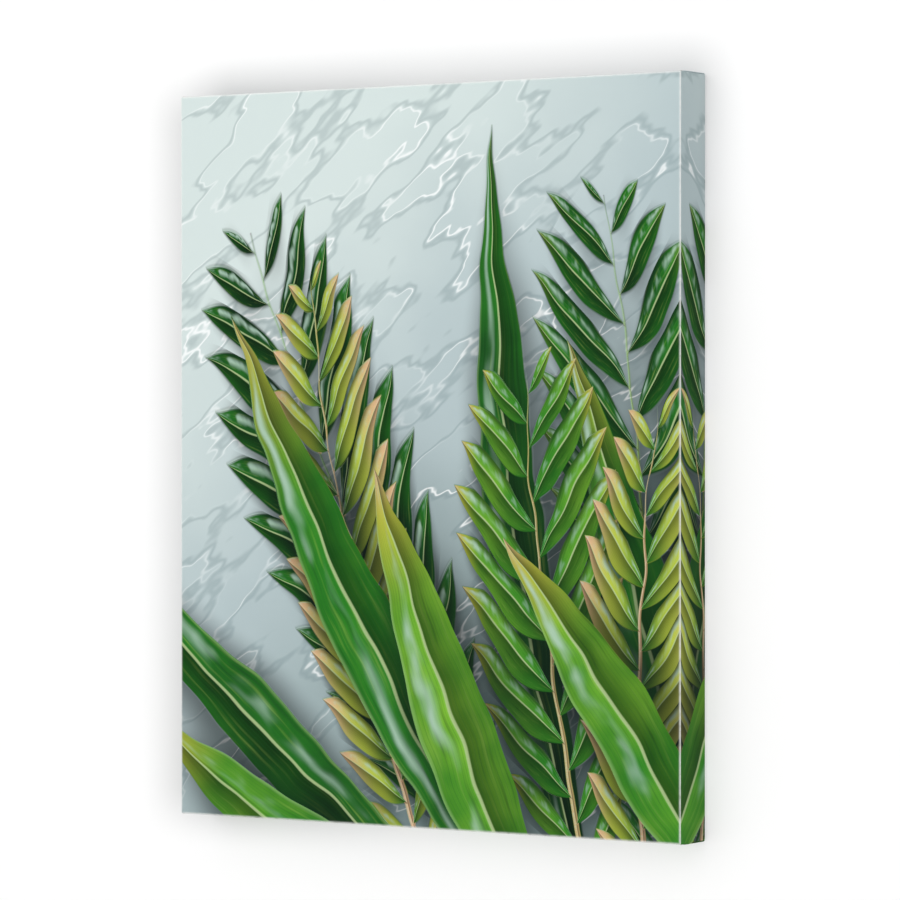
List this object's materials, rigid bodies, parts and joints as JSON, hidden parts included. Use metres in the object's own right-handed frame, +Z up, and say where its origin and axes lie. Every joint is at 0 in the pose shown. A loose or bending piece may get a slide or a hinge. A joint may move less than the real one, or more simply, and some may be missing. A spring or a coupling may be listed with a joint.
{
  "type": "stretched canvas picture",
  "caption": "Printed canvas wrapped round a wooden stretcher frame and stapled at the back, hung on a wall from a sawtooth hanger with bumpers below.",
  "frame": {"origin": "tip of the hanger's middle notch, on the plane of the wall, where the wall's nail bears", "axes": "+Z up, +Y into the wall, the picture faces -Y, +X to the viewer's right"},
  "size_m": [0.4064, 0.0366, 0.508],
  "materials": {
    "canvas": "satin printed canvas, fine weave",
    "bar_wood": "planed bare pine",
    "key_wood": "sawn bare hardwood",
    "staple_steel": "zinc plated",
    "hanger_steel": "zinc plated sheet",
    "bumper": "matte"
  },
  "bodies": {
    "root": {"canvas": "canvas", "bar_top": "bar_wood", "bar_right": "bar_wood", "bar_bottom": "bar_wood", "bar_left": "bar_wood", "key_top_1": "key_wood", "key_top_2": "key_wood", "key_right_1": "key_wood", "key_right_2": "key_wood", "key_bottom_1": "key_wood", "key_bottom_2": "key_wood", "key_left_1": "key_wood", "key_left_2": "key_wood", "staple_top_1": "staple_steel", "staple_top_2": "staple_steel", "staple_top_3": "staple_steel", "staple_top_4": "staple_steel", "staple_top_5": "staple_steel", "staple_top_6": "staple_steel", "staple_top_7": "staple_steel", "staple_top_8": "staple_steel", "staple_right_1": "staple_steel", "staple_right_2": "staple_steel", "staple_right_3": "staple_steel", "staple_right_4": "staple_steel", "staple_right_5": "staple_steel", "staple_right_6": "staple_steel", "staple_right_7": "staple_steel", "staple_right_8": "staple_steel", "staple_right_9": "staple_steel", "staple_right_10": "staple_steel", "staple_bottom_1": "staple_steel", "staple_bottom_2": "staple_steel", "staple_bottom_3": "staple_steel", "staple_bottom_4": "staple_steel", "staple_bottom_5": "staple_steel", "staple_bottom_6": "staple_steel", "staple_bottom_7": "staple_steel", "staple_bottom_8": "staple_steel", "staple_left_1": "staple_steel", "staple_left_2": "staple_steel", "staple_left_3": "staple_steel", "staple_left_4": "staple_steel", "staple_left_5": "staple_steel", "staple_left_6": "staple_steel", "staple_left_7": "staple_steel", "staple_left_8": "staple_steel", "staple_left_9": "staple_steel", "staple_left_10": "staple_steel", "hanger": "hanger_steel", "hanger_nail_1": "hanger_steel", "hanger_nail_2": "hanger_steel", "bumper_1": "bumper", "bumper_2": "bumper"}
  },
  "joints": []
}
